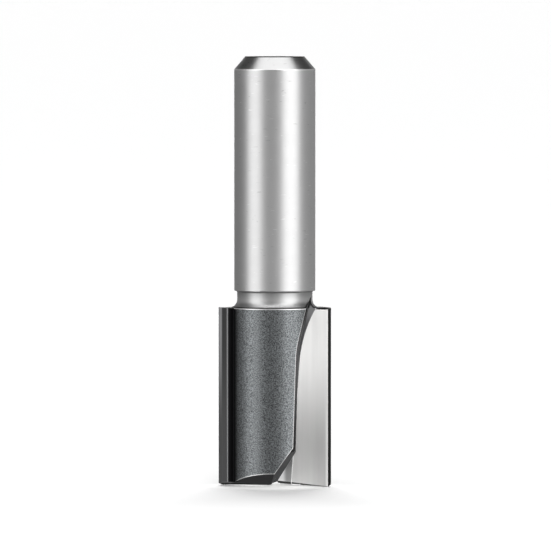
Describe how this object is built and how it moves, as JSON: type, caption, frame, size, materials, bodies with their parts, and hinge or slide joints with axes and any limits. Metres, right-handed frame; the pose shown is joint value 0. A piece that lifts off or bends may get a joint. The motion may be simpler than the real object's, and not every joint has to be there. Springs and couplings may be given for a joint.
{
  "type": "router bit",
  "caption": "Straight router bit: a round shank, a grooved neck and a fluted steel body with brazed carbide cutting tips down its sides.",
  "frame": {"origin": "on the tool's axis, level with the two cutting corners at the lower end", "axes": "+Z along the axis towards the shank end; the long cutting edges stand on +X and -X; seen from the shank end the bit turns clockwise"},
  "size_m": [0.018, 0.0138, 0.0673],
  "materials": {
    "body": "ground shank, matt blasted and darkened core",
    "cutting_tips": "finely ground tungsten carbide"
  },
  "bodies": {
    "root": {"body": "body", "cutting_tip_1": "cutting_tips", "cutting_tip_2": "cutting_tips"}
  },
  "joints": []
}
